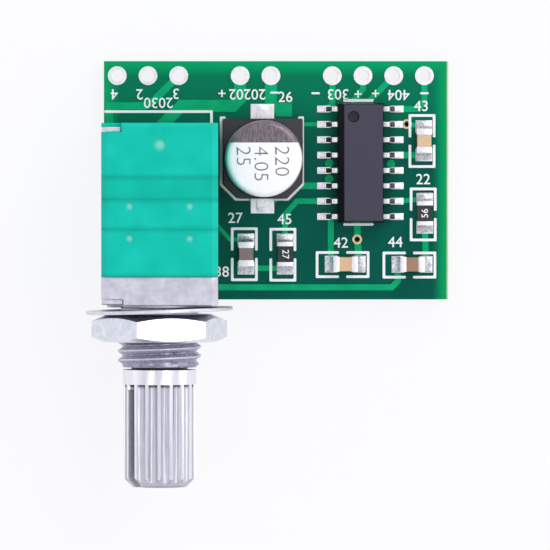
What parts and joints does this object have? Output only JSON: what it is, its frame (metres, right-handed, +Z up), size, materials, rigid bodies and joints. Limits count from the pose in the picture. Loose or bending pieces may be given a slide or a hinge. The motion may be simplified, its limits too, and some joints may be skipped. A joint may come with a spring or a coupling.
{
  "type": "audio amplifier board",
  "caption": "Small green amplifier circuit board with a moulded chip, can capacitor, chip parts, plated wire holes and a turquoise switched potentiometer with threaded bush and toothed shaft.",
  "frame": {"origin": "middle of the part's box, at the tips of the terminals under the board", "axes": "+Z up from the board, -Y along the shaft to its tip, +X to the amplifier chip's side"},
  "size_m": [0.03, 0.0348, 0.0147],
  "materials": {
    "laminate": "green solder mask on glass-fibre laminate",
    "masked_copper": "solder mask over copper",
    "masked_plane": "solder mask over copper",
    "tinned_copper": "tinned",
    "via_copper": "bare plated copper",
    "solder": "bright solder",
    "lead_metal": "tin plated",
    "chip_epoxy": "moulded epoxy",
    "base_plastic": "moulded",
    "can_aluminium": "drawn, lacquered",
    "mauve_ceramic": "fired",
    "orange_ceramic": "fired",
    "tan_ceramic": "fired",
    "brown_ceramic": "fired",
    "end_plating": "tin plated",
    "alumina": "fired",
    "resistor_glaze": "fired glass coat",
    "zinc_casting": "die-cast zinc alloy",
    "turquoise_plastic": "moulded",
    "strap_steel": "plated",
    "shaft_metal": "turned and knurled",
    "ring_steel": "spring steel",
    "rotor_plastic": "moulded acetal",
    "contact_brass": "spring brass",
    "hard_paper": "laminated hard paper",
    "plated_steel": "nickel plated"
  },
  "bodies": {
    "board_assembly": {"circuit_board": "laminate", "copper_tracks": "masked_copper", "ground_plane": "masked_plane", "board_eyelets": "tinned_copper", "via_rings": "via_copper", "terminal_solder": "solder", "chip_body": "chip_epoxy", "chip_leads": "lead_metal", "chip_solder": "solder", "capacitor_base": "base_plastic", "capacitor_can": "can_aluminium", "capacitor_terminals": "lead_metal", "capacitor_solder": "solder", "input_capacitor": "mauve_ceramic", "input_capacitor_ends": "end_plating", "bypass_capacitor": "orange_ceramic", "bypass_capacitor_ends": "end_plating", "filter_capacitor": "tan_ceramic", "filter_capacitor_ends": "end_plating", "output_capacitor": "brown_ceramic", "output_capacitor_ends": "end_plating", "input_resistor": "alumina", "input_resistor_coat": "resistor_glaze", "input_resistor_ends": "end_plating", "gain_resistor": "alumina", "gain_resistor_coat": "resistor_glaze", "gain_resistor_ends": "end_plating", "chip_part_solder": "solder", "front_casting": "zinc_casting", "front_housing": "turquoise_plastic", "centre_housing": "turquoise_plastic", "rear_housing": "turquoise_plastic", "switch_housing": "turquoise_plastic", "left_strap": "strap_steel", "right_strap": "strap_steel", "front_element": "hard_paper", "front_terminals": "lead_metal", "rear_element": "hard_paper", "rear_terminals": "lead_metal", "switch_plate": "hard_paper", "switch_terminals": "lead_metal", "washer": "plated_steel", "nut": "plated_steel"},
    "shaft_assembly": {"shaft": "shaft_metal", "retaining_ring": "ring_steel", "front_rotor": "rotor_plastic", "front_wiper": "contact_brass", "rear_rotor": "rotor_plastic", "rear_wiper": "contact_brass", "switch_rotor": "rotor_plastic", "switch_wiper": "contact_brass"}
  },
  "joints": [
    {"name": "volume_turn", "type": "hinge", "parent": "board_assembly", "child": "shaft_assembly", "pos_m": [-0.00897, -0.00255, 0.0087], "axis": [0, 1, 0], "range_deg": [-150, 150]}
  ]
}
